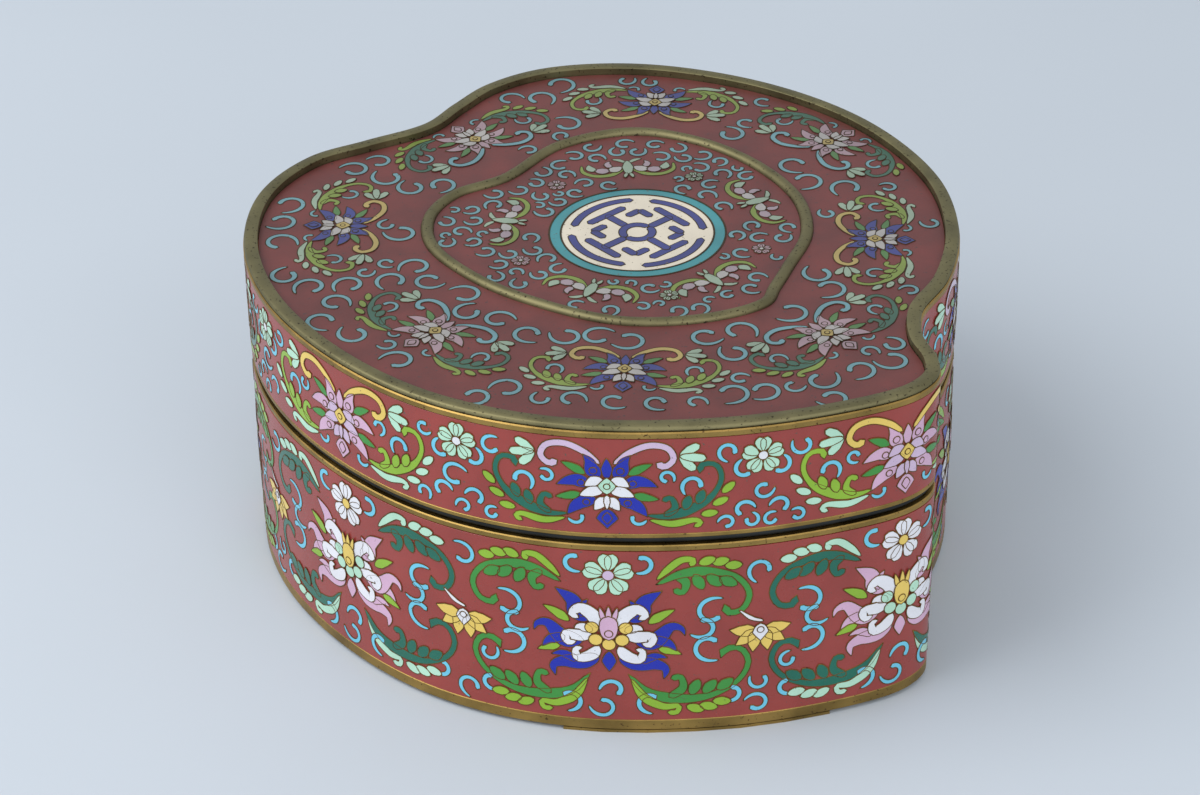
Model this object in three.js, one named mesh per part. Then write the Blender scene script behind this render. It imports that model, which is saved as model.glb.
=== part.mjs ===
// Peach-shaped box with a lift-off lid: copper sheet, enamel skins and gilt brass edge strips.
// Millimetres, +Z up. The box stands on z = 0, and the peach's tip points to -Y.
import * as THREE from "three";

// Heights above the surface that the box stands on
const footHeight = 1.2;
const lowerRimTop = 5.0;
const baseTop = 73.6;
const baseRimHeight = 2.0;
const seamHeight = 2.8;
const lidTop = 117.6;
const lidRimHeight = 1.5;
const topRimHeight = 1.6;
const topWireHeight = 2.2;
const fieldDepth = 2.6;

// Layers of the wall, from the outside in
const skin = 1.0;
const sheet = 1.1;
const lining = 0.8;
const gap = 0.3;
const wallDepth = skin + gap + sheet + gap + lining;

// Top of the lid
const topRimWidth = 4.6;
const topRimSlope = 0.7;
const wireInset = 0.25;
const beadWidth = 4.2;
const beadHeight = 1.9;
const ringOuter = 29.4;
const ringInner = 26.1;
const ringWire = 0.6;
const wireStand = 0.15;

// Collar that the lid slides over
const collarSheet = 1.1;
const collarRise = 11.0;
const collarDrop = 9.0;
const shoulderInset = 1.1;

// Sampling of the outlines
const longestChord = 22;
const sharpestTurn = 0.26;
const sectionTurns = 8;
const circleSides = 40;

// The peach's outline, anticlockwise from the cleft, measured from the middle of the lid's roundel
const peachPoints = [
  [-6, 106.2], [-29, 110.6], [-51, 114.5], [-78, 106.2], [-103, 82.4], [-120.5, 46],
  [-126.2, 2], [-120, -38], [-100, -75], [-65, -107.8], [-31, -127], [-6, -135],
  [6.5, -133], [13.6, -126], [20, -113.5], [31, -102.6], [52, -94], [78, -74.3],
  [100, -43], [111, 3], [104, 48.7], [82, 88], [54, 109.6], [30, 114.3], [11, 110.6],
];

// The raised peach line round the middle of the lid
const beadPoints = [
  [-9, 58.6], [-29, 61.4], [-45, 55.2], [-56.6, 39.6], [-59.8, 14], [-55.6, -11], [-43, -39.5],
  [-21, -57.2], [-1, -62.6], [7.5, -58.2], [21, -51], [41, -39.3], [55.4, -20], [61.5, 7],
  [58.5, 33], [46.5, 53.6], [21, 63.6],
];

// Low feet under the lower rim, each from one point of the peach's outline to another
const feet = { front: [8, 10], right: [19, 20], left: [2, 4] };

const materials = {
  redEnamel: finish("#9c4a40", 0.3, 0),
  dullRedEnamel: finish("#70403c", 0.45, 0),
  blueEnamel: finish("#3f8fae", 0.35, 0),
  tealEnamel: finish("#3c7f86", 0.4, 0),
  creamEnamel: finish("#cfc6b4", 0.4, 0),
  gilt: finish("#b08d45", 0.35, 1),
  bronze: finish("#6f6a4c", 0.5, 1),
  darkMetal: finish("#2e2f2e", 0.55, 1),
  copper: finish("#a8643c", 0.45, 1),
};

function finish(color, roughness, metalness) {
  return new THREE.MeshStandardMaterial({ color, roughness, metalness });
}

// Points along a closed curve, close together only where it bends
function sampleOutline(controlPoints) {
  const knots = controlPoints.map(([x, y]) => new THREE.Vector3(x, y, 0));
  const curve = new THREE.CatmullRomCurve3(knots, true, "centripetal");
  const fine = 1600;
  const places = curve.getSpacedPoints(fine);
  const cost = [0];
  for (let i = 0; i < fine; i++) {
    const step = new THREE.Vector3().subVectors(places[i + 1], places[i]);
    const before = new THREE.Vector3().subVectors(places[i], places[(i + fine - 1) % fine]);
    cost.push(cost[i] + step.length() / longestChord + step.angleTo(before) / sharpestTurn);
  }
  const count = Math.ceil(cost[fine]);
  const samples = [];
  let place = 0;
  for (let i = 0; i < count; i++) {
    while (cost[place + 1] < (cost[fine] * i) / count) place++;
    const along = (cost[fine] * i) / count - cost[place];
    const share = along / (cost[place + 1] - cost[place]);
    const point = new THREE.Vector3().lerpVectors(places[place], places[place + 1], share);
    const ahead = new THREE.Vector3().subVectors(places[place + 1], places[place]).normalize();
    samples.push({ point: new THREE.Vector2(point.x, point.y), inward: new THREE.Vector2(-ahead.y, ahead.x) });
  }
  return samples;
}

function inset(samples, depth) {
  return samples.map(({ point, inward }) => point.clone().addScaledVector(inward, depth));
}

// A closed ring that follows the outline; its section, [inset, height], climbs on the outer side
function sweptRing(samples, section) {
  const loops = section.map(([depth]) => inset(samples, depth));
  const positions = [];
  loops.forEach((loop, k) => loop.forEach((p) => positions.push(p.x, p.y, section[k][1])));
  const count = samples.length;
  const index = [];
  for (let k = 0; k < section.length; k++) {
    const next = (k + 1) % section.length;
    for (let i = 0; i < count; i++) {
      const j = (i + 1) % count;
      const corners = [k * count + i, k * count + j, next * count + j, next * count + i];
      index.push(corners[0], corners[1], corners[2], corners[0], corners[2], corners[3]);
    }
  }
  const geometry = new THREE.BufferGeometry();
  geometry.setAttribute("position", new THREE.Float32BufferAttribute(positions, 3));
  geometry.setIndex(index);
  return geometry;
}

function band(samples, outer, inner, low, high) {
  return sweptRing(samples, [[outer, low], [outer, high], [inner, high], [inner, low]]);
}

// A flat plate between two heights, with an optional hole
function plate(edge, low, high, hole) {
  const shape = new THREE.Shape(edge);
  if (hole) shape.holes.push(new THREE.Path(hole));
  const geometry = new THREE.ExtrudeGeometry(shape, { depth: high - low, bevelEnabled: false, steps: 1 });
  return geometry.translate(0, 0, low);
}

function circle(radius) {
  const points = [];
  for (let i = 0; i < circleSides; i++) {
    const angle = (2 * Math.PI * i) / circleSides;
    points.push(new THREE.Vector2(radius * Math.cos(angle), radius * Math.sin(angle)));
  }
  return points;
}

function nearestSample(samples, [x, y]) {
  const distances = samples.map(({ point }) => Math.hypot(point.x - x, point.y - y));
  return distances.indexOf(Math.min(...distances));
}

// A strip under the wall along one stretch of the outline
function strip(samples, [from, to], depth, low, high) {
  const first = nearestSample(samples, peachPoints[from]);
  const last = nearestSample(samples, peachPoints[to]);
  const part = samples.slice(first, last + 1);
  return plate([...inset(part, 0), ...inset(part, depth).reverse()], low, high);
}

function piece(name, geometry, material) {
  const mesh = new THREE.Mesh(geometry, material);
  mesh.name = name;
  return mesh;
}

const outline = sampleOutline(peachPoints);
const beadLine = sampleOutline(beadPoints);

// Wall, floor and rims of the base
function makeBase() {
  const sheetInset = skin + gap;
  const liningInset = sheetInset + sheet + gap;
  const wallLow = lowerRimTop + gap;
  const wallHigh = baseTop - baseRimHeight - gap;
  const floorInset = wallDepth + gap;
  const counterLow = footHeight + gap;
  const floorLow = counterLow + lining + gap;
  const floorHigh = floorLow + sheet;
  const floorLiningLow = floorHigh + gap;
  const floorEdge = inset(outline, floorInset);
  const base = new THREE.Group();
  base.add(
    piece("base_wall", band(outline, sheetInset, sheetInset + sheet, wallLow, wallHigh), materials.copper),
    piece("base_wall_enamel", band(outline, 0, skin, wallLow, wallHigh), materials.redEnamel),
    piece("base_lining_enamel", band(outline, liningInset, wallDepth, wallLow, wallHigh), materials.blueEnamel),
    piece("base_floor_plate", plate(floorEdge, floorLow, floorHigh), materials.copper),
    piece("base_floor_lining", plate(floorEdge, floorLiningLow, floorLiningLow + lining), materials.blueEnamel),
    piece("base_counter_enamel", plate(floorEdge, counterLow, counterLow + lining), materials.blueEnamel),
    piece("base_lower_rim", band(outline, 0, wallDepth, footHeight, lowerRimTop), materials.gilt),
    piece("base_upper_rim", band(outline, 0, wallDepth, baseTop - baseRimHeight, baseTop), materials.gilt),
    piece("base_inner_collar", makeCollar(), materials.darkMetal),
  );
  for (const [name, stretch] of Object.entries(feet)) {
    base.add(piece(`base_foot_${name}`, strip(outline, stretch, wallDepth, 0, footHeight - gap / 3), materials.gilt));
  }
  return base;
}

// Sheet that stands inside the wall, with a rounded shoulder on the base rim for the lid to stand on
function makeCollar() {
  const outer = wallDepth + gap;
  const inner = outer + collarSheet;
  const low = baseTop + gap / 3;
  const high = baseTop + seamHeight - gap / 3;
  const middle = (low + high) / 2;
  const cut = (high - low) / 4;
  return sweptRing(outline, [
    [outer, baseTop - collarDrop], [outer, low], [shoulderInset + cut, low],
    [shoulderInset, middle - cut], [shoulderInset, middle + cut], [shoulderInset + cut, high],
    [outer, high], [outer, baseTop + collarRise], [inner, baseTop + collarRise],
    [inner, baseTop - collarDrop],
  ]);
}

// Wall of the lid with its edge strips
function makeLidWall() {
  const sheetInset = skin + gap;
  const liningInset = sheetInset + sheet + gap;
  const low = baseTop + seamHeight;
  const rimHigh = low + lidRimHeight;
  const wireHigh = lidTop - topRimHeight - gap;
  const wireLow = wireHigh - topWireHeight;
  const wallLow = rimHigh + gap;
  const wallHigh = lidTop - topRimHeight - gap;
  const skinHigh = wireLow - gap;
  const wall = new THREE.Group();
  wall.add(
    piece("lid_wall", band(outline, sheetInset, sheetInset + sheet, wallLow, wallHigh), materials.copper),
    piece("lid_wall_enamel", band(outline, 0, skin, wallLow, skinHigh), materials.redEnamel),
    piece("lid_wall_lining", band(outline, liningInset, wallDepth, wallLow, wallHigh), materials.blueEnamel),
    piece("lid_lower_rim", band(outline, 0, wallDepth, low, rimHigh), materials.gilt),
    piece("lid_upper_wire", band(outline, -wireInset, skin, wireLow, wireHigh), materials.gilt),
  );
  return wall;
}

// Top of the lid: rim, copper plate, enamel fields, raised line and roundel
function makeLidTop() {
  const rimLow = lidTop - topRimHeight;
  const plateInset = topRimWidth + gap;
  const fieldHigh = lidTop - fieldDepth;
  const fieldLow = fieldHigh - skin;
  const sheetHigh = fieldLow - gap;
  const sheetLow = sheetHigh - sheet;
  const ceilingHigh = sheetLow - gap;
  const plateEdge = inset(outline, wallDepth + gap);
  const beadOuter = inset(beadLine, -beadWidth / 2 - gap);
  const beadInner = inset(beadLine, beadWidth / 2 + gap);
  const outerWire = [ringOuter, ringOuter + ringWire];
  const innerWire = [ringInner - ringWire, ringInner];
  const wireHigh = fieldHigh + wireStand;
  const rimSection = [
    [0, rimLow], [0, lidTop - topRimSlope], [topRimSlope, lidTop],
    [topRimWidth, lidTop], [topRimWidth, rimLow],
  ];
  const top = new THREE.Group();
  top.add(
    piece("lid_top_rim", sweptRing(outline, rimSection), materials.bronze),
    piece("lid_top_plate", plate(plateEdge, sheetLow, sheetHigh), materials.copper),
    piece("lid_top_field_enamel", plate(inset(outline, plateInset), fieldLow, fieldHigh, beadOuter),
      materials.dullRedEnamel),
    piece("lid_centre_field_enamel", plate(beadInner, fieldLow, fieldHigh, circle(outerWire[1] + gap)),
      materials.dullRedEnamel),
    piece("lid_medallion_outer_wire", plate(circle(outerWire[1]), fieldLow, wireHigh, circle(outerWire[0])),
      materials.gilt),
    piece("lid_medallion_ring", plate(circle(ringOuter - gap), fieldLow, fieldHigh, circle(ringInner + gap)),
      materials.tealEnamel),
    piece("lid_medallion_inner_wire", plate(circle(innerWire[1]), fieldLow, wireHigh, circle(innerWire[0])),
      materials.gilt),
    piece("lid_medallion_disc", plate(circle(innerWire[0] - gap), fieldLow, fieldHigh), materials.creamEnamel),
    piece("lid_bead", makeBead(fieldLow, fieldHigh), materials.bronze),
    piece("lid_ceiling_lining", plate(plateEdge, ceilingHigh - lining, ceilingHigh), materials.blueEnamel),
  );
  return top;
}

// Half-round strip, let into the enamel
function makeBead(low, high) {
  const half = beadWidth / 2;
  const section = [[half, low], [-half, low]];
  for (let i = 0; i <= sectionTurns / 2; i++) {
    const angle = (2 * Math.PI * i) / sectionTurns;
    section.push([-half * Math.cos(angle), high + beadHeight * Math.sin(angle)]);
  }
  return sweptRing(beadLine, section);
}

const middle = new THREE.Box2().setFromPoints(inset(outline, 0)).getCenter(new THREE.Vector2());
const lid = new THREE.Group();
lid.add(makeLidWall(), makeLidTop());
const box = new THREE.Group();
box.add(makeBase(), lid);
box.position.set(-middle.x, -middle.y, 0);

export default box;
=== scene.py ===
# Peach-shaped cloisonne box: enamel walls and fields, flowers edged with wire, and metal rims.
import math

import bpy
import numpy as np
from mathutils import Matrix, Vector
from mathutils.geometry import tessellate_polygon
from mathutils.kdtree import KDTree


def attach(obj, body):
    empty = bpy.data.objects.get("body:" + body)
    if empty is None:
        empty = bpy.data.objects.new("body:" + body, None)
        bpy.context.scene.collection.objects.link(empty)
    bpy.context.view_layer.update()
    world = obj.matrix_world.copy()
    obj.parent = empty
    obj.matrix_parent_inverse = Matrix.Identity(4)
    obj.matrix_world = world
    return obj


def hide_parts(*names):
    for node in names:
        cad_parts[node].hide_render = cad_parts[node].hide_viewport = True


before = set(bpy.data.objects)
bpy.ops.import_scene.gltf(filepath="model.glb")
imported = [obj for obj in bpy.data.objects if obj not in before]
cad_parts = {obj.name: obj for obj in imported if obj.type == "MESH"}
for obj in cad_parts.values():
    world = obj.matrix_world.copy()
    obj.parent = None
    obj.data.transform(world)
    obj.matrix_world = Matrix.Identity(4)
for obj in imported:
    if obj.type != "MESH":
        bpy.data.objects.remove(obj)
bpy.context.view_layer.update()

MM = 0.001

# Heights and layers of the box, millimetres
FOOT, LOWER_RIM, BASE_TOP, BASE_RIM = 1.2, 5.0, 73.6, 2.0
SEAM, LID_TOP, LID_RIM, TOP_RIM, TOP_WIRE, FIELD = 2.8, 117.6, 1.5, 1.6, 2.2, 2.6
SKIN, SHEET, LINING, GAP = 1.0, 1.1, 0.8, 0.3
LINING_IN = SKIN + GAP + SHEET + GAP
WALL = LINING_IN + LINING
TOP_RIM_WIDTH = 4.6
RING_OUTER, RING_INNER, RING_WIRE = 29.4, 26.1, 0.6
LIP, LIP_SINK = 0.6, 0.4
COLLAR_SHEET, COLLAR_RISE, COLLAR_DROP, SHOULDER_INSET = 1.1, 11, 9, 1.1
LINE_HALF, LINE_HEIGHT, LINE_ROOM = 2.1, 1.9, 2.2
RING_WIRE_STAND, UPPER_EDGE_STAND = 0.15, 0.25
LID_LOW = BASE_TOP + SEAM
FIELD_HIGH = LID_TOP - FIELD

# How far the wires and each layer of cells stand over the ground
CELL_RISE, LAYER_STEP, WIRE_RISE, WIRE_WIDTH = 0.06, 0.11, 0.09, 0.4

# Small steps between cells of one layer, so that no two share a height
TIE_STEP, TIES = 0.009, 12

# How far each edge of a wire sinks, beside its cell and under the cell's own face
WIRE_FOOT_OUT, WIRE_FOOT_IN = 0.05, 0.02

# Outlines, measured from the middle of the roundel
PEACH = [
    (-6, 106.2), (-29, 110.6), (-51, 114.5), (-78, 106.2), (-103, 82.4), (-120.5, 46),
    (-126.2, 2), (-120, -38), (-100, -75), (-65, -107.8), (-31, -127), (-6, -135),
    (6.5, -133), (13.6, -126), (20, -113.5), (31, -102.6), (52, -94), (78, -74.3),
    (100, -43), (111, 3), (104, 48.7), (82, 88), (54, 109.6), (30, 114.3), (11, 110.6),
]
BEAD = [
    (-9, 58.6), (-29, 61.4), (-45, 55.2), (-56.6, 39.6), (-59.8, 14), (-55.6, -11), (-43, -39.5),
    (-21, -57.2), (-1, -62.6), (7.5, -58.2), (21, -51), (41, -39.3), (55.4, -20), (61.5, 7),
    (58.5, 33), (46.5, 53.6), (21, 63.6),
]


# Outline curves


def smooth_closed(points, per_span=40):
    """Centripetal curve through a closed list of points."""
    knots = np.array(points, float)
    count = len(knots)
    out = []
    for i in range(count):
        p = [knots[(i + k) % count] for k in (-1, 0, 1, 2)]
        t = [0.0]
        for a, b in zip(p[:-1], p[1:]):
            t.append(t[-1] + math.sqrt(np.linalg.norm(b - a)))
        for u in np.linspace(t[1], t[2], per_span, endpoint=False):
            a1 = ((t[1] - u) * p[0] + (u - t[0]) * p[1]) / (t[1] - t[0])
            a2 = ((t[2] - u) * p[1] + (u - t[1]) * p[2]) / (t[2] - t[1])
            a3 = ((t[3] - u) * p[2] + (u - t[2]) * p[3]) / (t[3] - t[2])
            b1 = ((t[2] - u) * a1 + (u - t[0]) * a2) / (t[2] - t[0])
            b2 = ((t[3] - u) * a2 + (u - t[1]) * a3) / (t[3] - t[1])
            out.append(((t[2] - u) * b1 + (u - t[1]) * b2) / (t[2] - t[1]))
    return np.array(out)


class Outline:
    """A closed curve with places and inward directions by length along it."""

    def __init__(self, points, count):
        dense = smooth_closed(points)
        steps = np.linalg.norm(np.roll(dense, -1, 0) - dense, axis=1)
        self.length = steps.sum()
        self.marks = np.concatenate([[0.0], np.cumsum(steps)])
        self.dense = np.vstack([dense, dense[:1]])
        self.places = self.at(np.linspace(0, self.length, count, endpoint=False))
        self.inward = self.normal(np.linspace(0, self.length, count, endpoint=False))

    def at(self, s):
        s = np.mod(s, self.length)
        return np.stack([np.interp(s, self.marks, self.dense[:, k]) for k in (0, 1)], -1)

    def normal(self, s):
        ahead = self.at(np.asarray(s) + 0.8) - self.at(np.asarray(s) - 0.8)
        ahead /= np.linalg.norm(ahead, axis=-1, keepdims=True)
        return np.stack([-ahead[..., 1], ahead[..., 0]], -1)

    def inset(self, depth):
        return self.places + self.inward * depth


peach = Outline(PEACH, 900)
bead = Outline(BEAD, 420)
CENTRE = -(peach.places.min(0) + peach.places.max(0)) / 2


# Materials


GRAIN, BROAD_GRAIN = 900.0, 75.0
PIT_LEVEL, PIT_SOFTNESS = 0.74, 0.06


def make_material(name, color, rough, metal=0.0, mottle=0.12, pits=0.0, dirt=(0.1, 0.08, 0.06)):
    """Mottled metal or fired glass with small dark pits."""
    material = bpy.data.materials.new(name)
    material.use_nodes = True
    nodes, links = material.node_tree.nodes, material.node_tree.links
    shader = nodes["Principled BSDF"]
    shader.inputs["Metallic"].default_value = metal
    place = nodes.new("ShaderNodeTexCoord")
    broad = nodes.new("ShaderNodeTexNoise")
    broad.inputs["Scale"].default_value = BROAD_GRAIN
    broad.inputs["Detail"].default_value = 6
    links.new(place.outputs["Object"], broad.inputs["Vector"])
    tone = nodes.new("ShaderNodeValToRGB")
    low = [c * (1 - mottle) for c in color]
    high = [min(1.0, c * (1 + mottle)) for c in color]
    tone.color_ramp.elements[0].position = 0.3
    tone.color_ramp.elements[0].color = (*low, 1)
    tone.color_ramp.elements[1].position = 0.7
    tone.color_ramp.elements[1].color = (*high, 1)
    links.new(broad.outputs["Fac"], tone.inputs["Fac"])
    spots = nodes.new("ShaderNodeTexNoise")
    spots.inputs["Scale"].default_value = GRAIN
    spots.inputs["Detail"].default_value = 3
    links.new(place.outputs["Object"], spots.inputs["Vector"])
    limit = nodes.new("ShaderNodeMapRange")
    limit.inputs["From Min"].default_value = PIT_LEVEL - pits
    limit.inputs["From Max"].default_value = PIT_LEVEL + PIT_SOFTNESS - pits
    links.new(spots.outputs["Fac"], limit.inputs["Value"])
    mix = nodes.new("ShaderNodeMix")
    mix.data_type = "RGBA"
    mix.inputs[7].default_value = (*dirt, 1)
    links.new(limit.outputs["Result"], mix.inputs["Factor"])
    links.new(tone.outputs["Color"], mix.inputs[6])
    links.new(mix.outputs[2], shader.inputs["Base Color"])
    gloss = nodes.new("ShaderNodeMapRange")
    gloss.inputs["To Min"].default_value = rough * 0.75
    gloss.inputs["To Max"].default_value = min(1.0, rough * 1.35)
    links.new(broad.outputs["Fac"], gloss.inputs["Value"])
    links.new(gloss.outputs["Result"], shader.inputs["Roughness"])
    bump = nodes.new("ShaderNodeBump")
    bump.inputs["Strength"].default_value = 0.12
    bump.inputs["Distance"].default_value = 0.0002
    links.new(spots.outputs["Fac"], bump.inputs["Height"])
    links.new(bump.outputs["Normal"], shader.inputs["Normal"])
    return material


def linear(red, green, blue):
    """Scene colour of a display colour given from 0 to 255."""
    return tuple((v / 255) ** 2.2 for v in (red, green, blue))


PAINTS = {
    "turquoise": (112, 200, 228), "mint": (183, 226, 200), "pink": (212, 172, 200), "lilac": (208, 184, 212),
    "yellow": (232, 200, 100), "blue": (28, 44, 168), "green": (62, 142, 62), "deep_green": (28, 104, 86),
    "leaf_green": (140, 182, 52), "white": (232, 232, 238),
}


def aged(color, share=0.54, film=(84, 78, 68)):
    """Colour dulled by a film of dirt, as on the lid's top."""
    return tuple(c * (1 - share) + f * share for c, f in zip(color, film))


wall_paint = {
    k: make_material(f"enamel_{k}", linear(*v), 0.22, mottle=0.08, pits=0.04) for k, v in PAINTS.items()
}
top_paint = {
    k: make_material(f"aged_{k}", linear(*aged(v)), 0.42, mottle=0.14, pits=0.07) for k, v in PAINTS.items()
}
red = make_material("red_enamel", linear(150, 64, 58), 0.26, mottle=0.1, pits=0.06)
old_red = make_material(
    "old_red_enamel", linear(98, 50, 48), 0.46, mottle=0.22, pits=0.08, dirt=(0.05, 0.03, 0.03)
)
lining_blue = make_material("lining_enamel", linear(72, 150, 178), 0.3, mottle=0.12, pits=0.06)
teal = make_material("teal_enamel", linear(62, 128, 134), 0.4, mottle=0.15, pits=0.06)
cream = make_material("cream_enamel", linear(206, 196, 178), 0.4, mottle=0.08, pits=0.07)
gilt = make_material("gilt", linear(158, 130, 76), 0.4, 1.0, 0.3, 0.1, dirt=(0.12, 0.07, 0.03))
wire = make_material("wire", linear(120, 92, 52), 0.42, 1.0, 0.3, 0.1, dirt=(0.05, 0.03, 0.02))
top_wire = make_material("aged_wire", linear(84, 74, 58), 0.5, 1.0, 0.25, 0.1, dirt=(0.04, 0.03, 0.02))
bronze = make_material("bronze", linear(124, 118, 88), 0.5, 1.0, 0.2, 0.12, dirt=(0.06, 0.05, 0.03))
dark = make_material("dark_metal", linear(52, 54, 54), 0.45, 0.8, 0.3, 0.08, dirt=(0.01, 0.01, 0.01))
copper = make_material("copper", linear(176, 112, 76), 0.4, 1.0, mottle=0.2, pits=0.06)


# Meshes


def to_row(points, heights):
    """Points round the roundel, in millimetres, as places in the row frame."""
    flat = (np.asarray(points) + CENTRE) * MM
    return np.column_stack([flat, np.broadcast_to(np.asarray(heights) * MM, len(flat))])


def add_mesh(name, vertices, faces, material, body, sharp=40):
    mesh = bpy.data.meshes.new(name)
    mesh.from_pydata([tuple(v) for v in vertices], [], faces)
    mesh.polygons.foreach_set("use_smooth", [True] * len(mesh.polygons))
    mesh.set_sharp_from_angle(angle=math.radians(sharp))
    mesh.materials.append(material)
    piece = bpy.data.objects.new(name, mesh)
    bpy.context.scene.collection.objects.link(piece)
    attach(piece, body)
    return piece


def add_ring(name, outline, section, material, body, node):
    """Ring along an outline; its section, (inset, height), climbs on the outer side."""
    loops = [to_row(outline.inset(depth), height) for depth, height in section]
    count = len(loops[0])
    faces = []
    for k in range(len(section)):
        a, b = k * count, (k + 1) % len(section) * count
        for i in range(count):
            j = (i + 1) % count
            faces.append((a + i, a + j, b + j, b + i))
    piece = add_mesh(name, np.vstack(loops), faces, material, body)
    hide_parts(node)
    return piece


def rounded(outer, inner, low, high, edge):
    """Rectangular section with eased outer corners."""
    return [
        (outer + edge, low), (outer, low + edge), (outer, high - edge), (outer + edge, high),
        (inner, high), (inner, low),
    ]


def add_plate(name, edge, low, high, material, body, node, hole=None):
    """Flat plate between two heights, with an optional hole."""
    loops = [edge] if hole is None else [edge, hole]
    flat = [[Vector((x, y, 0)) for x, y in loop] for loop in loops]
    caps = tessellate_polygon(flat)
    points = np.vstack(loops)
    count = len(points)
    vertices = np.vstack([to_row(points, high), to_row(points, low)])
    faces = []
    for a, b, c in caps:
        ab, ac = points[b] - points[a], points[c] - points[a]
        if ab[0] * ac[1] - ab[1] * ac[0] < 0:
            b, c = c, b
        faces.append((a, b, c))
        faces.append((count + a, count + c, count + b))
    start = 0
    for order, loop in enumerate(loops):
        size = len(loop)
        for i in range(size):
            p, q = start + i, start + (i + 1) % size
            side = (q, p, count + p, count + q) if order == 0 else (p, q, count + q, count + p)
            faces.append(side)
        start += size
    piece = add_mesh(name, vertices, faces, material, body)
    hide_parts(node)
    return piece


def circle(radius, count=160):
    angles = np.linspace(0, 2 * math.pi, count, endpoint=False)
    return np.stack([radius * np.cos(angles), radius * np.sin(angles)], -1)


# Cells and wires, drawn as brush strokes in millimetres


def brushed(color, path, widths, layer):
    """A cell of changing width along a path, with rounded ends."""
    steps = np.linalg.norm(np.diff(path, axis=0), axis=1)
    length = steps.sum()
    t = np.concatenate([[0.0], np.cumsum(steps)]) / length
    ahead = np.gradient(path, axis=0)
    ahead /= np.linalg.norm(ahead, axis=1, keepdims=True)
    width = np.interp(t, np.linspace(0, 1, len(widths)), widths)
    cap = np.clip(max(widths) / 2 / length, 0.02, 0.5)
    near_end = np.clip(np.minimum(t, 1 - t) / cap, 0, 1)
    half = width * np.sqrt(np.clip(1 - (1 - near_end) ** 2, 0.0, 1)) / 2
    side = np.stack([-ahead[:, 1], ahead[:, 0]], -1) * half[:, None]
    return {"color": color, "left": path + side, "right": path - side, "layer": layer}


def sample_count(length):
    return int(np.clip(length / 1.1 + 5, 8, 26))


def stroke(color, start, heading, length, turn=0.0, power=1.0, widths=(1.0,), layer=0):
    """A cell that bends by turn degrees in all, later along its length for a larger power."""
    count = sample_count(length)
    t = np.linspace(0, 1, count)
    angle = np.radians(heading + turn * t**power)
    steps = np.stack([np.cos(angle), np.sin(angle)], -1) * (length / (count - 1))
    path = np.asarray(start, float) + np.vstack([[0, 0], np.cumsum((steps[:-1] + steps[1:]) / 2, 0)])
    return brushed(color, path, widths, layer)


def ribbon(color, points, widths, layer=0):
    """A cell that runs through the given points."""
    p = np.array(points, float)
    p = np.vstack([2 * p[0] - p[1], p, 2 * p[-1] - p[-2]])
    dense = []
    for i in range(1, len(p) - 2):
        for t in np.linspace(0, 1, 12, endpoint=False):
            a, b, c, d = p[i - 1 : i + 3]
            bend = (2 * a - 5 * b + 4 * c - d) * t**2 + (3 * b - a - 3 * c + d) * t**3
            dense.append((2 * b + (c - a) * t + bend) / 2)
    dense = np.vstack(dense + [p[-2]])
    marks = np.concatenate([[0.0], np.cumsum(np.linalg.norm(np.diff(dense, axis=0), axis=1))])
    places = np.linspace(0, marks[-1], sample_count(marks[-1]))
    path = np.stack([np.interp(places, marks, dense[:, k]) for k in (0, 1)], -1)
    return brushed(color, path, widths, layer)


def disc(color, centre, radius, layer=0):
    angle = np.linspace(0, math.pi, 10)
    x = centre[0] - radius * np.cos(angle)
    half = radius * np.sin(angle)
    left = np.stack([x, centre[1] + half], -1)
    right = np.stack([x, centre[1] - half], -1)
    return {"color": color, "left": left, "right": right, "layer": layer}


def moved(cells, dx=0.0, dy=0.0, angle=0.0, scale=1.0, flip=False, raised=0):
    """Copies of cells, mirrored, scaled, turned and shifted."""
    c, s = math.cos(math.radians(angle)), math.sin(math.radians(angle))
    turn = np.array([[c, s], [-s, c]])
    out = []
    for cell in cells:
        copy = {"color": cell["color"], "layer": cell["layer"] + raised}
        for side, other in (("left", "right"), ("right", "left")):
            points = cell[other if flip else side] * (-scale if flip else scale, scale)
            copy[side] = points @ turn + (dx, dy)
        out.append(copy)
    return out


def both(cells):
    return cells + moved(cells, flip=True)


def curl(start, heading, turn, length, width=1.7):
    """Turquoise hook scroll with a fuller, rounded end."""
    widths = (0.8, width, width, width, width * 1.3)
    return stroke("turquoise", start, heading, length, turn, 1.35, widths)


def lobes(color, places, length, width=3.6, layer=1):
    """Row of leaf lobes, each given by its foot and heading."""
    widths = (width * 0.6, width, width * 0.55)
    return [stroke(color, at, heading, length, 0, 1, widths, layer) for at, heading in places]


def blossom(radius, petals, heart, count=5):
    """Small open flower with notched petals round a disc."""
    cells = []
    widths = (radius * 0.2, radius * 0.44, radius * 0.56, radius * 0.44)
    for i in range(count):
        angle = 90 + i * 360 / count
        c, s = math.cos(math.radians(angle)), math.sin(math.radians(angle))
        foot = (c * radius * 0.2, s * radius * 0.2)
        for lean in (-17, 17):
            cells.append(stroke(petals, foot, angle + lean, radius * 0.84, -lean * 0.4, 1, widths))
    cells.append(disc(heart, (0, 0), radius * 0.24, 1))
    return cells


def bud():
    """Three-lobed bud opening along +X."""
    sides = [stroke("mint", (0, 0), lean, 7.4, -lean * 0.2, 1, (1.2, 3.2, 2.6)) for lean in (-44, 44)]
    return sides + [stroke("mint", (0, 0), 0, 8.4, 0, 1, (1.4, 3.2, 2.6), 1)]


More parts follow.
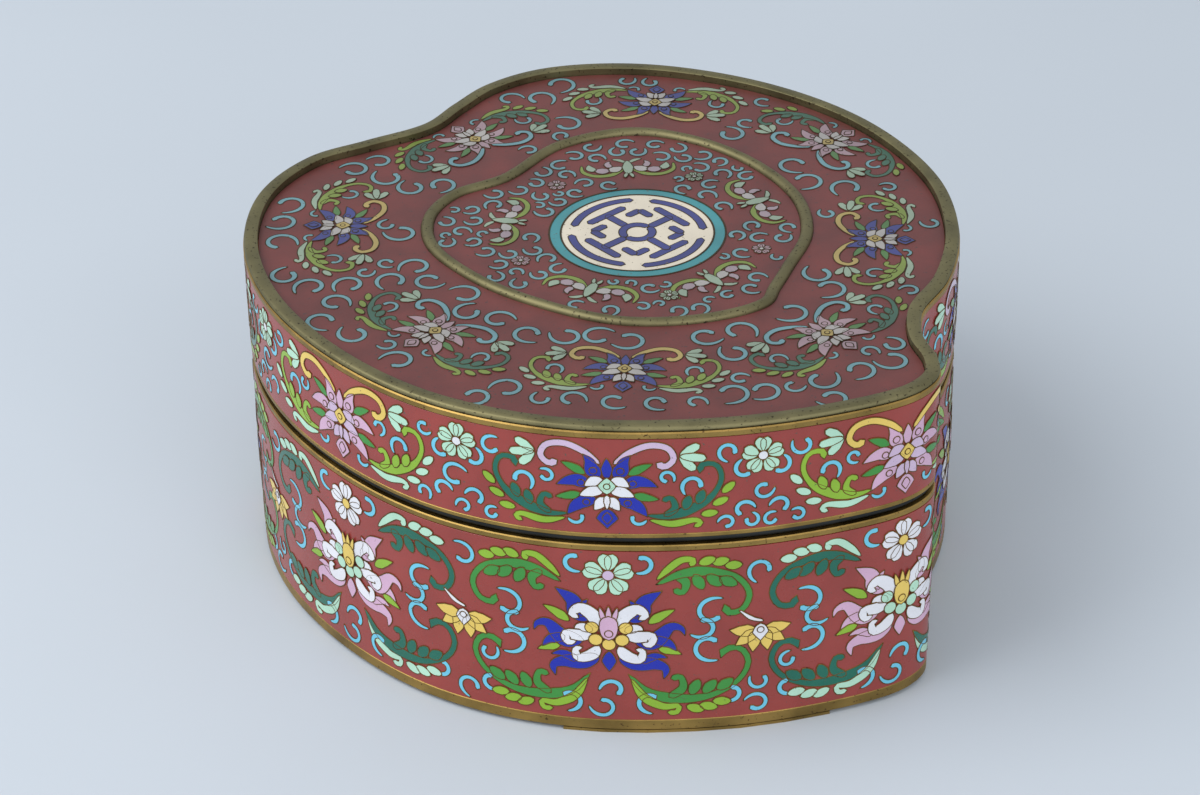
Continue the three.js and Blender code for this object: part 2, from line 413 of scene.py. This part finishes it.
def yellow_flower():
    """Hanging flower with six pointed petals and a white heart."""
    half = [
        stroke("yellow", (1.2, 0.4), heading, 9, bend, 1, (2.4, 4.6, 3.6, 0.5)) for heading, bend in
        ((-8, 24), (-46, 14), (-78, -8))
    ]
    cells = both(half)
    cells.append(ribbon("white", [(0, 2.6), (0, 0), (0, -4.2)], (3.4, 5.2, 0.8), 1))
    cells.append(disc("white", (0, 0.2), 1.1, 2))
    cells.append(ribbon("white", [(1, 3.4), (-3, 5), (-7, 8.6)], (0.9, 1.5, 0.5)))
    return cells


def lotus(outer, inner, crown, beads):
    """Large lotus: barbed flame petals, curled inner petals, beads and a crown."""
    half = [
        ribbon(outer, [(6, 3), (10, 6), (11.5, 10.5), (17, 14.6)], (4, 6.2, 4.4, 0.5)),
        ribbon(outer, [(8.5, 4), (8.6, 8), (6.6, 11)], (3, 3, 0.5)),
        ribbon(outer, [(8, -5), (14.5, -4.6), (19.5, 0.4), (23, -0.2), (24.2, -3)], (3.5, 7, 5, 3, 0.8)),
        ribbon(outer, [(14, -4), (19, -6), (21.6, -9)], (3.4, 3.6, 0.5)),
        ribbon(outer, [(3, -11), (9, -13.6), (14.5, -14), (18, -16), (17.4, -20)], (3.5, 6, 5.2, 3.2, 0.8)),
        ribbon(outer, [(10, -13), (15, -10.8), (18.6, -11.6)], (3, 3, 0.5)),
        ribbon(inner, [(2.5, 0), (5, 5), (9, 7.6), (11.6, 5.2), (9.4, 3.6)], (2.5, 5, 4.6, 3.2, 1.8), 1),
        ribbon(inner, [(5, -1), (9, 0.4), (11, -0.6)], (2.4, 3.4, 1), 1),
        ribbon(inner, [(5, -3), (9, -3.2), (13.6, -3.2), (13, -6.2), (10.4, -5.6)],
               (2.5, 4.6, 4, 2.8, 1.6), 1),
        ribbon(inner, [(3, -7), (5.6, -10.6), (9.8, -12), (10.6, -8.8), (8.4, -8)],
               (2.5, 4.4, 3.8, 2.6, 1.6), 1),
        stroke("leaf_green", (12.6, 2), 42, 10, -20, 1, (1.5, 3.6, 2.6, 0.5)),
        stroke("leaf_green", (15.6, -8), -8, 8, -20, 1, (1.5, 3.2, 2.2, 0.5)),
        disc(beads, (5.4, 0.2), 2.2, 2),
        disc(beads, (4.2, -4.4), 2.2, 3),
        stroke(crown, (1.6, 3.4), 76, 5, 0, 1, (1.8, 1.6, 0.5), 3),
    ]
    cells = both(half)
    cells.append(ribbon(outer, [(0, -9), (0, -13), (0, -17)], (2, 4.8, 0.8)))
    cells.append(disc(beads, (0, -6.2), 2.2, 2))
    cells.append(stroke(crown, (0, 3.4), 90, 5.4, 0, 1, (2.2, 1.8, 0.5), 3))
    cells.append(ribbon(crown, [(0, -4.4), (0, 0), (0, 5)], (4.4, 6, 5.4), 4))
    cells.append(disc(crown, (0, -1.8), 1.3, 5))
    return cells


def small_lotus(outer, inner, heart, antenna):
    """Small lotus with a pair of long curled antennae."""
    half = [
        ribbon(outer, [(2, 3.6), (4.4, 6.2), (5.4, 9.4), (7.4, 12)], (3.4, 5.2, 3.2, 0.5)),
        ribbon(outer, [(5.4, 0.6), (9.2, 2.2), (12.4, 1.6), (15.8, 0)], (3.6, 4.8, 3.2, 0.5)),
        ribbon(outer, [(3.2, -4.6), (7, -5.4), (10, -7.6), (12.6, -11)], (3.6, 5, 3.6, 0.5)),
        disc(outer, (4.2, 6), 1.2, 1),
        disc(outer, (8, 1.4), 1.1, 1),
        disc(outer, (6.4, -5.8), 1.1, 1),
        ribbon(inner, [(1, 2.4), (4, 2.2), (7, 0.2)], (2.4, 3.8, 1), 1),
        ribbon(inner, [(1, -1), (5, -1.8), (8.6, -3.4)], (3, 4, 1), 1),
        ribbon(inner, [(0.8, -3.6), (2.4, -6.4), (4, -8.6)], (3, 3.8, 1), 1),
        stroke("green", (6.6, 4.6), 36, 8.6, -16, 1, (1.2, 3.2, 2.4, 0.5)),
        stroke("green", (8, -2.6), -18, 8.4, 10, 1, (1.4, 3.2, 2.4, 0.5)),
        ribbon(antenna, [(2, 8.4), (7, 12.8), (13, 15.4), (18.6, 14.4), (20.6, 10.4), (18, 7.6), (15.2, 9)],
               (1.4, 2.2, 2.4, 2.4, 2.2, 2.2, 2.8)),
    ]
    cells = both(half)
    cells.append(ribbon(outer, [(0, 3), (0, 7), (0, 10.6)], (2, 3.6, 0.8)))
    cells.append(ribbon(outer, [(0, -8), (0, -11.6), (0, -15.6)], (4, 6.8, 0.8)))
    cells.append(ribbon(outer, [(0, -9.4), (0, -11.6), (0, -13.8)], (1.4, 3.2, 0.6), 1))
    cells.append(ribbon(heart, [(0, 3.6), (0, 0.6), (0, -2.6)], (2, 5.8, 2.6), 2))
    cells.append(disc(heart, (0, 0.4), 1.0, 3))
    cells.append(stroke(inner, (0, -2.8), -90, 5.4, 0, 1, (1.6, 2, 0.6), 2))
    return cells


def large_scrolls(main, under):
    """Leaf scrolls above and below one side of a large lotus."""
    cells = [
        ribbon(main, [(15, 17), (23, 21), (32, 21.5), (40.5, 18.5),
                      (44.6, 12), (42.6, 6), (38, 5), (36.6, 8.4)], (1, 2.8, 4, 2.6, 2.1, 2.1, 2.2, 3)),
        ribbon(main, [(21, 20.4), (24.4, 17.6), (23.4, 13.8), (20.4, 15)], (2.5, 3.2, 2.2, 2.6)),
        ribbon(main, [(6, -18), (12, -25), (21, -28), (32, -27.5), (41, -22.5),
                      (44.6, -15.5), (42, -9.5), (37, -9.5), (35.6, -12.8)], (1, 2.8, 4.2, 3.4, 2.2, 2, 2, 2.2, 3)),
        ribbon(main, [(19, -27.4), (23.4, -24), (22.8, -19.6), (19.6, -20)], (2.5, 3.2, 2.2, 2.6)),
        ribbon(under, [(15.2, 18.8), (19, 23), (23, 26.2), (26.6, 26), (25.8, 23.6)],
               (0.8, 2.4, 2.8, 2.4, 2.4)),
        ribbon(under, [(7, -20), (11, -27.2), (17, -31), (22, -31), (21.4, -33.6), (18.4, -33.4)],
               (0.8, 2.6, 3.4, 2.8, 2, 2.2)),
    ]
    cells += lobes(main, [((27, 20.6), -64), ((31, 20.2), -44), ((35, 18.8), -30)], 6.6, 4)
    cells += lobes(main, [((26, -26.6), 66), ((30, -26.2), 50), ((34.4, -25), 36)], 6.6, 4)
    cells += lobes(under, [((28.4, 24.6), 20), ((32.6, 24.4), 12), ((36.6, 23.2), 0)], 5.8)
    cells += lobes(under, [((24.6, -31), -22), ((28.8, -30.8), -14), ((33, -29.6), -6)], 6.2)
    return cells


def small_scroll(main, under):
    """Leaf scroll beside a small lotus."""
    cells = [
        ribbon(main, [(12, -10.4), (18, -11), (25, -9), (32, -4.5),
                      (35.4, 2), (33.8, 7.4), (29.4, 7.8), (28.6, 4.6)], (0.8, 2.4, 3.8, 3.2, 1.9, 1.8, 1.9, 2.6)),
        ribbon(main, [(17.6, -10.8), (21, -8), (19.8, -4.2), (17, -5.2)], (2, 2.6, 1.9, 2.2)),
        ribbon(under, [(13, -12.2), (20, -13.8), (27, -12.6), (29, -14), (26.8, -15.2)],
               (0.8, 2.4, 2.8, 2, 1.8)),
    ]
    cells += lobes(main, [((24, -8.6), 74), ((28, -6.6), 70)], 5.6, 3.4)
    return cells + lobes(under, [((29, -10.6), 6), ((32.6, -7.2), 24), ((35.6, -3), 44)], 5.6, 3)


def fill_with_curls(cells, low, high, seed, reach=5.0, gap=2.3, wrap=None, inside=None):
    """Turquoise curls on the bare ground, each as large as its place allows."""
    rng = np.random.default_rng(seed)
    taken = [np.vstack([c["left"], c["right"], (c["left"] + c["right"]) / 2]) for c in cells]
    taken = np.vstack(taken)
    if wrap:
        taken = np.vstack([taken, taken + (wrap, 0), taken - (wrap, 0)])
    tree = KDTree(len(taken))
    for k, (x, y) in enumerate(taken):
        tree.insert((x, y, 0), k)
    tree.balance()
    drawn = np.zeros((0, 2))
    out = []
    for radius in (reach, reach * 0.78, reach * 0.6):
        for y in np.arange(low[1] + radius, high[1] - radius, 1.9):
            for x in np.arange(low[0] + rng.uniform(0, 2), high[0], 2.1):
                if inside is not None and not inside(np.array([[x, y]])):
                    continue
                room = radius + gap * 0.45
                if tree.find((x, y, 0))[2] < room:
                    continue
                if len(drawn) and np.hypot(drawn[:, 0] - x, drawn[:, 1] - y).min() < room:
                    continue
                hand = rng.choice((-1, 1))
                shape = curl((0, 0), rng.uniform(0, 360), hand * rng.uniform(265, 320), radius * 4.5,
                             1.15 + radius * 0.1)
                middle = (shape["left"].min(0) + shape["left"].max(0)) / 2
                placed = moved([shape], x - middle[0], y - middle[1])
                out += placed
                edge = np.vstack([placed[0]["left"], placed[0]["right"]])
                drawn = np.vstack([drawn, edge])
                if wrap:
                    drawn = np.vstack([drawn, edge + (wrap, 0), edge - (wrap, 0)])
    return out


# Place of the front blue lotus along the outline, and the middles of the two friezes
BLUE_PLACE, BASE_MIDDLE, LID_MIDDLE = 291.5, 41.8, 95.7
UNITS = 8


def build_base_frieze():
    """Frieze of the base: large lotuses, blue and pink in turn, with leaf scrolls and small flowers."""
    cells = []
    step = peach.length / UNITS
    for i in range(UNITS):
        if i % 2 == 0:
            unit = moved(lotus("blue", "white", "pink", "yellow"), raised=1)
            top, leaves = blossom(8, "mint", "lilac"), ("green", "leaf_green")
        else:
            unit = moved(lotus("pink", "white", "yellow", "mint"), raised=1)
            top, leaves = blossom(7.8, "white", "yellow"), ("deep_green", "mint")
        unit += moved(top, 0, 20.6, raised=1)
        unit += both(large_scrolls(*leaves))
        unit += both([
            curl((8.4, 21.6), -12, 235, 13), curl((36.4, 10.6), 165, 255, 20),
            curl((25.6, -2.6), -38, 245, 16), curl((35, -13.4), 190, -250, 20),
            curl((14, -34), 172, -235, 15), curl((37, -30), -14, 215, 11),
        ])
        unit.append(curl((-3.4, -25), 78, -235, 14))
        cells += moved(unit, BLUE_PLACE + step * i, BASE_MIDDLE)
        cells += moved(yellow_flower(), BLUE_PLACE + step * (i + 0.5), BASE_MIDDLE - 3, raised=1)
    low, high = LOWER_RIM + 1.4, BASE_TOP - BASE_RIM - 1.2
    start = BLUE_PLACE - step / 2
    end = start + peach.length
    return cells + fill_with_curls(cells, (start, low), (end, high), 5, wrap=peach.length)


def lid_unit(outer, inner, heart, antenna, main, under):
    unit = moved(small_lotus(outer, inner, heart, antenna), raised=1)
    unit += both(moved(bud(), 22.4, 11.4, angle=-8, raised=1))
    unit += both(small_scroll(main, under))
    unit += both([curl((24.4, -3.4), 126, -250, 14, 1.6), curl((12.4, -12), -120, -200, 8, 1.4)])
    return unit


def build_lid_frieze():
    """Frieze of the lid: small lotuses in turn with antennae, buds, leaf scrolls and open flowers."""
    cells = []
    step = peach.length / UNITS
    for i in range(UNITS):
        if i % 2 == 0:
            unit = lid_unit("blue", "white", "mint", "lilac", "deep_green", "leaf_green")
        else:
            unit = lid_unit("pink", "lilac", "yellow", "yellow", "leaf_green", "mint")
        cells += moved(unit, BLUE_PLACE + step * i, LID_MIDDLE)
        between = moved(blossom(6.6, "mint", "white"), 0, 9.6, raised=1)
        between += both([curl((6.2, 9), -30, -210, 11, 1.6), curl((2, -10), 70, -240, 12, 1.6)])
        cells += moved(between, BLUE_PLACE + step * (i + 0.5), LID_MIDDLE)
    low, high = LID_LOW + LID_RIM + 1.4, LID_TOP - TOP_RIM - TOP_WIRE - 1.6
    start = BLUE_PLACE - step / 2
    end = start + peach.length
    return cells + fill_with_curls(cells, (start, low), (end, high), 8, 4.2, 2.0, wrap=peach.length)


# Flowers of the lid's top: angle round the roundel and distance, blue and pink in turn from the front
TOP_FLOWERS = [
    (-134.8, 87.5), (-89.6, 90), (-46.4, 80), (0.9, 92), (44, 94), (88.6, 88), (134.8, 100), (-177.8, 91),
]
BATS = [(52.1, 45.5), (-15.3, 46), (-94.2, 41), (-154.1, 41.5), (127.7, 45.5)]


def open_outer_ground(place):
    """Whether a curl at a place in the outer field clears the rim and the raised line."""
    to_rim, to_line = signed_clearance(peach, place)[0], signed_clearance(bead, place)[0]
    return to_rim > TOP_RIM_WIDTH + 4.6 and to_line < -6.4


def open_centre_ground(place):
    """Whether a curl at a place in the centre field clears the raised line and the roundel."""
    return signed_clearance(bead, place)[0] > 5.4 and np.linalg.norm(place[0]) > RING_OUTER + 3.8


def build_outer_field():
    """Outer field of the lid's top: eight lotuses facing the roundel, leaf scrolls, buds and curls."""
    cells = []
    for i, (angle, reach) in enumerate(TOP_FLOWERS):
        if i % 2 == 0:
            unit = lid_unit("blue", "white", "yellow", "yellow", "leaf_green", "mint")
        else:
            unit = lid_unit("pink", "white", "yellow", "turquoise", "deep_green", "leaf_green")
        a = math.radians(angle)
        cells += moved(unit, reach * math.cos(a), reach * math.sin(a), angle=angle + 90, scale=0.84)
    cells = [c for c in cells if in_outer_field(np.vstack([c["left"], c["right"]]))]
    curls = fill_with_curls(cells, (-128, -137), (113, 116), 3, 5.2, 2.2, inside=open_outer_ground)
    return cells + curls


def bat():
    """Bat with scalloped wings, head towards +Y."""
    half = [
        ribbon("leaf_green", [(1.4, 1), (6, 5), (11.6, 5.4), (15.6, 2.4), (16, -2.4)],
               (1.4, 2.2, 2, 1.8, 0.8)),
        ribbon("white", [(2, -0.4), (4.6, 1.4), (7, 1.2)], (1.6, 4, 3.2), 1),
        ribbon("lilac", [(6.4, 1.6), (9, 2.2), (11.6, 1.4)], (2.6, 4, 2.6), 1),
        ribbon("mint", [(11, 1.6), (13, 0.4), (13.6, -2.6)], (2.8, 3.2, 0.8), 1),
        ribbon("lilac", [(6, 0), (7, -2.6), (6, -4.6)], (2.4, 2.4, 0.6), 1),
        stroke("mint", (0.8, -3.4), -60, 5.4, 60, 1, (1.4, 1.8, 0.8)),
        stroke("mint", (0.4, 4.4), 58, 3.4, 30, 1, (1, 1.5, 0.7), 2),
    ]
    return both(half) + [ribbon("mint", [(0, -4.6), (0, 0), (0, 5)], (1.4, 4, 2.4), 2)]


def build_centre_field():
    """Field inside the raised line: five bats round the roundel, small flowers and curls."""
    cells = []
    for i, (angle, reach) in enumerate(BATS):
        a, b = math.radians(angle), math.radians(angle + 36)
        cells += moved(bat(), reach * math.cos(a), reach * math.sin(a), angle=angle + 90)
        flower = moved(blossom(3.2, "mint" if i % 2 else "pink", "white"), raised=1)
        cells += moved(flower, 43 * math.cos(b), 43 * math.sin(b), angle=angle + 126)
    cells = [c for c in cells if in_centre_field(np.vstack([c["left"], c["right"]]))]
    return cells + fill_with_curls(cells, (-60, -64), (62, 64), 4, 3.2, 1.6, inside=open_centre_ground)


def build_roundel():
    """Plain fret of blue bars: arcs near the edge, brackets and a middle ring."""
    cells = []
    for i in range(4):
        side = [stroke("blue", (0, 5.4), 90, 10.4, 0, 1, (2.9, 2.9))]
        side.append(stroke("blue", (-8.4, 15.6), 0, 16.8, 0, 1, (2.9, 2.9)))
        side.append(stroke("blue", (-13.2, 17.4), 37, 29, -74, 1, (2.6, 2.6)))
        side += both([stroke("blue", (4.6, 10.6), 0, 6.4, 0, 1, (2.8, 2.8))])
        cells += moved(side, angle=90 * i)
    ring = [stroke("blue", (-5, 0), 90, 5 * math.pi, -180, 1, (2.6, 2.6))]
    return cells + ring + moved(ring, angle=180)


# Laying cells on the box


def on_wall(points, rise):
    s, z = points[:, 0], points[:, 1]
    flat = peach.at(s) - peach.normal(s) * rise
    return to_row(flat, z)


def on_top(points, rise):
    return to_row(points, FIELD_HIGH + rise)


def lay_cells(name, cells, lay, paint, wire_paint, body, inside=None):
    """One piece for each colour of the cells, and one for their wires."""
    by_color = {}
    wire_vertices, wire_faces = [], []
    wire_count = 0
    order = 0
    for cell in cells:
        edge = np.vstack([cell["left"], cell["right"][::-1]])
        if inside is not None and not inside(edge):
            continue
        order += 1
        rise = CELL_RISE + LAYER_STEP * cell["layer"] + TIE_STEP * (order % TIES)
        vertices, faces, count = by_color.setdefault(cell["color"], ([], [], [0]))
        rows = [cell["left"] + (cell["right"] - cell["left"]) * share for share in (0, 0.5, 1)]
        n = len(rows[0])
        for row in rows:
            vertices.append(lay(row, rise))
        for r in range(2):
            for i in range(n - 1):
                a = count[0] + r * n + i
                faces.append((a, a + n, a + n + 1, a + 1))
        count[0] += 3 * n
        ahead = np.roll(edge, -1, 0) - np.roll(edge, 1, 0)
        ahead /= np.maximum(np.linalg.norm(ahead, axis=1, keepdims=True), 1e-6)
        out = np.stack([-ahead[:, 1], ahead[:, 0]], -1) * WIRE_WIDTH / 2
        m = len(edge)
        wire_vertices.append(lay(edge + out, rise - WIRE_FOOT_OUT))
        wire_vertices.append(lay(edge, rise + WIRE_RISE))
        wire_vertices.append(lay(edge - out, rise - WIRE_FOOT_IN))
        for r in range(2):
            for i in range(m):
                a, b = wire_count + r * m + i, wire_count + r * m + (i + 1) % m
                wire_faces.append((a, b, b + m, a + m))
        wire_count += 3 * m
    for color, (vertices, faces, _) in by_color.items():
        piece = add_mesh(f"{name}_{color}", np.vstack(vertices), faces, paint[color], body)
    piece = add_mesh(f"{name}_wires", np.vstack(wire_vertices), wire_faces, wire_paint, body, 80)


def within(low, high):
    """Test for cells that stay between two heights."""

    def stays(edge):
        return edge[:, 1].min() > low and edge[:, 1].max() < high

    return stays


def signed_clearance(outline, points):
    """Distance of points inside an outline; negative outside."""
    gaps = points[:, None] - outline.places[None]
    nearest = np.linalg.norm(gaps, axis=2).argmin(1)
    picks = gaps[np.arange(len(points)), nearest]
    return (picks * outline.inward[nearest]).sum(1)


def in_outer_field(edge):
    probe = edge[::5]
    to_rim, to_line = signed_clearance(peach, probe).min(), signed_clearance(bead, probe).max()
    return to_rim > TOP_RIM_WIDTH + 1.2 and to_line < -3.2


def in_centre_field(edge):
    probe = edge[::5]
    reach = np.linalg.norm(probe, axis=1)
    return signed_clearance(bead, probe).min() > 3.0 and reach.min() > RING_OUTER + 1.2


def make_base():
    """Enamel skin, lining, gilt edges and collar of the base."""
    low, high = LOWER_RIM + GAP, BASE_TOP - BASE_RIM - GAP
    lower = rounded(0, WALL, FOOT, LOWER_RIM + GAP * 0.8, 0.3)
    upper = rounded(0, WALL, BASE_TOP - BASE_RIM - GAP * 0.8, BASE_TOP, 0.35)
    for name, section, material, node, slot in (
        ("base_skin", rounded(0, SKIN, low, high, 0.05), red, "base_wall_enamel", "red_enamel"),
        ("base_lining", rounded(LINING_IN, WALL, low, high, 0.05), lining_blue, "base_lining_enamel",
         "blue_enamel"),
        ("base_lower_edge", lower, gilt, "base_lower_rim", "gilt"),
        ("base_upper_edge", upper, gilt, "base_upper_rim", "gilt"),
        ("collar", collar_section(), dark, "base_inner_collar", "dark_metal"),
    ):
        add_ring(name, peach, section, material, "base", node)


def collar_section():
    """Upright collar with a rounded shoulder that fills the seam."""
    outer, inner = WALL + GAP, WALL + GAP + COLLAR_SHEET
    middle, half = BASE_TOP + SEAM / 2, SEAM / 2 - 0.1
    section = [(outer, BASE_TOP - COLLAR_DROP), (outer, BASE_TOP + 0.1)]
    for a in np.linspace(-math.pi / 2, math.pi / 2, 9):
        section.append((SHOULDER_INSET + 1.2 * (1 - math.cos(a)), middle + half * math.sin(a)))
    section.append((outer, BASE_TOP + SEAM - 0.1))
    section += [(outer, BASE_TOP + COLLAR_RISE - 0.2), (outer + 0.3, BASE_TOP + COLLAR_RISE)]
    return section + [(inner, BASE_TOP + COLLAR_RISE), (inner, BASE_TOP - COLLAR_DROP)]


def make_lid_wall():
    """Enamel skin, lining, gilt edges and bronze rim of the lid."""
    low, wire_high = LID_LOW + LID_RIM + GAP, LID_TOP - TOP_RIM - GAP
    wire_low = wire_high - TOP_WIRE
    lower = rounded(0, WALL, LID_LOW, low - GAP * 0.2, 0.3)
    upper = rounded(-UPPER_EDGE_STAND, SKIN, wire_low - GAP * 0.8, wire_high, 0.4)
    sunk, lip = FIELD_HIGH - LIP_SINK, TOP_RIM_WIDTH - LIP
    rim = [(0.2, LID_TOP - TOP_RIM), (0, LID_TOP - 1.1), (0.25, LID_TOP - 0.4), (0.8, LID_TOP)]
    rim += [(TOP_RIM_WIDTH - 0.3, LID_TOP), (TOP_RIM_WIDTH, LID_TOP - 0.25), (TOP_RIM_WIDTH, sunk)]
    rim += [(lip, sunk), (lip, LID_TOP - TOP_RIM)]
    for name, section, material, node, slot in (
        ("lid_skin", rounded(0, SKIN, low, wire_low - GAP, 0.05), red, "lid_wall_enamel", "red_enamel"),
        ("lid_lining", rounded(LINING_IN, WALL, low, wire_high, 0.05), lining_blue, "lid_wall_lining",
         "blue_enamel"),
        ("lid_lower_edge", lower, gilt, "lid_lower_rim", "gilt"),
        ("lid_upper_edge", upper, gilt, "lid_upper_wire", "gilt"),
        ("top_rim", rim, bronze, "lid_top_rim", "bronze"),
    ):
        add_ring(name, peach, section, material, "lid", node)


def make_top():
    """Fields, raised line and roundel of the lid's top."""
    low, wire_top = FIELD_HIGH - SKIN, FIELD_HIGH + RING_WIRE_STAND
    section = [(LINE_HALF, low), (-LINE_HALF, low)]
    for a in np.linspace(0, math.pi, 13):
        section.append((-LINE_HALF * math.cos(a), FIELD_HIGH + LINE_HEIGHT * math.sin(a)))
    add_ring("raised_line", bead, section, bronze, "lid", "lid_bead")
    wire_outer, wire_inner = circle(RING_OUTER + RING_WIRE), circle(RING_INNER - RING_WIRE)
    outer_edge = peach.inset(TOP_RIM_WIDTH + GAP)
    for name, edge, high, material, node, slot, hole in (
        ("outer_field", outer_edge, FIELD_HIGH, old_red, "lid_top_field_enamel", "dull_red_enamel",
         bead.inset(-LINE_ROOM)),
        ("centre_field", bead.inset(LINE_ROOM), FIELD_HIGH, old_red, "lid_centre_field_enamel",
         "dull_red_enamel", wire_outer),
        ("roundel_outer_wire", wire_outer, wire_top, top_wire, "lid_medallion_outer_wire", "gilt",
         circle(RING_OUTER)),
        ("roundel_ring", circle(RING_OUTER), FIELD_HIGH, teal, "lid_medallion_ring", "teal_enamel",
         circle(RING_INNER)),
        ("roundel_inner_wire", circle(RING_INNER), wire_top, top_wire, "lid_medallion_inner_wire", "gilt",
         wire_inner),
        ("roundel_disc", wire_inner, FIELD_HIGH, cream, "lid_medallion_disc", "cream_enamel", None),
    ):
        add_plate(name, edge, low, high, material, "lid", node, hole)


def dress_frame():
    """Finishes for the plain sheets, floors and feet."""
    for node, material in {
        "base_wall": copper, "lid_wall": copper, "base_floor_plate": copper, "lid_top_plate": copper,
        "base_floor_lining": lining_blue, "base_counter_enamel": lining_blue,
        "lid_ceiling_lining": lining_blue,
        "base_foot_front": gilt, "base_foot_right": gilt, "base_foot_left": gilt,
    }.items():
        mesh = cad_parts[node].data
        mesh.materials.clear()
        mesh.materials.append(material)


def decorate():
    """Lays the friezes on the walls and the patterns on the lid's top."""
    on_base = within(LOWER_RIM + 0.8, BASE_TOP - BASE_RIM - 0.8)
    on_lid = within(LID_LOW + LID_RIM + 0.8, LID_TOP - TOP_RIM - TOP_WIRE - 1.0)
    for name, cells, body, inside in (
        ("base_frieze", build_base_frieze(), "base", on_base),
        ("lid_frieze", build_lid_frieze(), "lid", on_lid),
    ):
        lay_cells(name, cells, on_wall, wall_paint, wire, body, inside)
    for name, cells, slot, inside in (
        ("outer_pattern", build_outer_field(), "dull_red_enamel", in_outer_field),
        ("centre_pattern", build_centre_field(), "dull_red_enamel", in_centre_field),
        ("roundel_pattern", build_roundel(), "cream_enamel", None),
    ):
        lay_cells(name, cells, on_top, top_paint, top_wire, "lid", inside)


# Camera, floor and light

FOCAL_PIXELS, IMAGE_WIDTH, SENSOR = 3404.9, 1200, 36.0
PITCH, ROLL = math.radians(32.46), math.radians(-0.845)
HEADING = math.radians(-41.16)
CAMERA_SIDE, CAMERA_BACK, CAMERA_OVER = -13.4, -995.3, 564.9


def make_camera():
    """Camera in front of the box, looking down at it from the left of the peach's tip."""
    right = Vector((1, 0, 0))
    up = Vector((0, math.sin(PITCH), math.cos(PITCH)))
    forward = Vector((0, math.cos(PITCH), -math.sin(PITCH)))
    across = right * math.cos(ROLL) + up * math.sin(ROLL)
    upward = -right * math.sin(ROLL) + up * math.cos(ROLL)
    turn = Matrix.Rotation(HEADING, 3, "Z")
    axes = Matrix((turn @ across, turn @ upward, turn @ -forward)).transposed()
    middle = Vector((CENTRE[0], CENTRE[1], LID_TOP + CAMERA_OVER))
    place = turn @ Vector((CAMERA_SIDE, CAMERA_BACK, 0)) + middle
    data = bpy.data.cameras.new("camera")
    data.sensor_width = SENSOR
    data.lens = FOCAL_PIXELS / IMAGE_WIDTH * SENSOR
    data.clip_start = 0.01
    camera = bpy.data.objects.new("camera", data)
    bpy.context.scene.collection.objects.link(camera)
    camera.matrix_world = Matrix.Translation(place * MM) @ axes.to_4x4()
    bpy.context.scene.camera = camera


def make_floor():
    """Pale, faintly mottled floor under the box."""
    half = 6.0
    mesh = bpy.data.meshes.new("floor")
    corners = [(-half, -half, 0), (half, -half, 0), (half, half, 0), (-half, half, 0)]
    mesh.from_pydata(corners, [], [(0, 1, 2, 3)])
    floor = bpy.data.objects.new("floor", mesh)
    bpy.context.scene.collection.objects.link(floor)
    material = bpy.data.materials.new("paper")
    material.use_nodes = True
    nodes, links = material.node_tree.nodes, material.node_tree.links
    shader = nodes["Principled BSDF"]
    shader.inputs["Roughness"].default_value = 0.8
    place = nodes.new("ShaderNodeTexCoord")
    noise = nodes.new("ShaderNodeTexNoise")
    noise.inputs["Scale"].default_value = 3
    links.new(place.outputs["Object"], noise.inputs["Vector"])
    tone = nodes.new("ShaderNodeValToRGB")
    tone.color_ramp.elements[0].color = (*linear(186, 194, 203), 1)
    tone.color_ramp.elements[1].color = (*linear(196, 204, 213), 1)
    links.new(noise.outputs["Fac"], tone.inputs["Fac"])
    links.new(tone.outputs["Color"], shader.inputs["Base Color"])
    mesh.materials.append(material)


def make_lights():
    """Even pale surroundings, a large soft lamp at the left and a weaker one in front."""
    world = bpy.data.worlds.new("studio")
    bpy.context.scene.world = world
    world.use_nodes = True
    background = world.node_tree.nodes["Background"]
    background.inputs["Color"].default_value = (0.92, 0.96, 1.0, 1)
    background.inputs["Strength"].default_value = 0.68
    for name, place, size, power in (
        ("window", (-1.1, 0.5, 1.5), 1.4, 22), ("front", (-0.6, -1.6, 1.1), 1.2, 10),
    ):
        data = bpy.data.lights.new(name, "AREA")
        data.energy = power
        data.size = size
        light = bpy.data.objects.new(name, data)
        light.location = place
        light.rotation_euler = (Vector((0, 0, 0.05)) - Vector(place)).to_track_quat("-Z", "Y").to_euler()
        bpy.context.scene.collection.objects.link(light)
    bpy.context.scene.view_settings.view_transform = "Standard"


make_camera()
make_floor()
make_lights()
dress_frame()
make_base()
make_lid_wall()
make_top()
decorate()
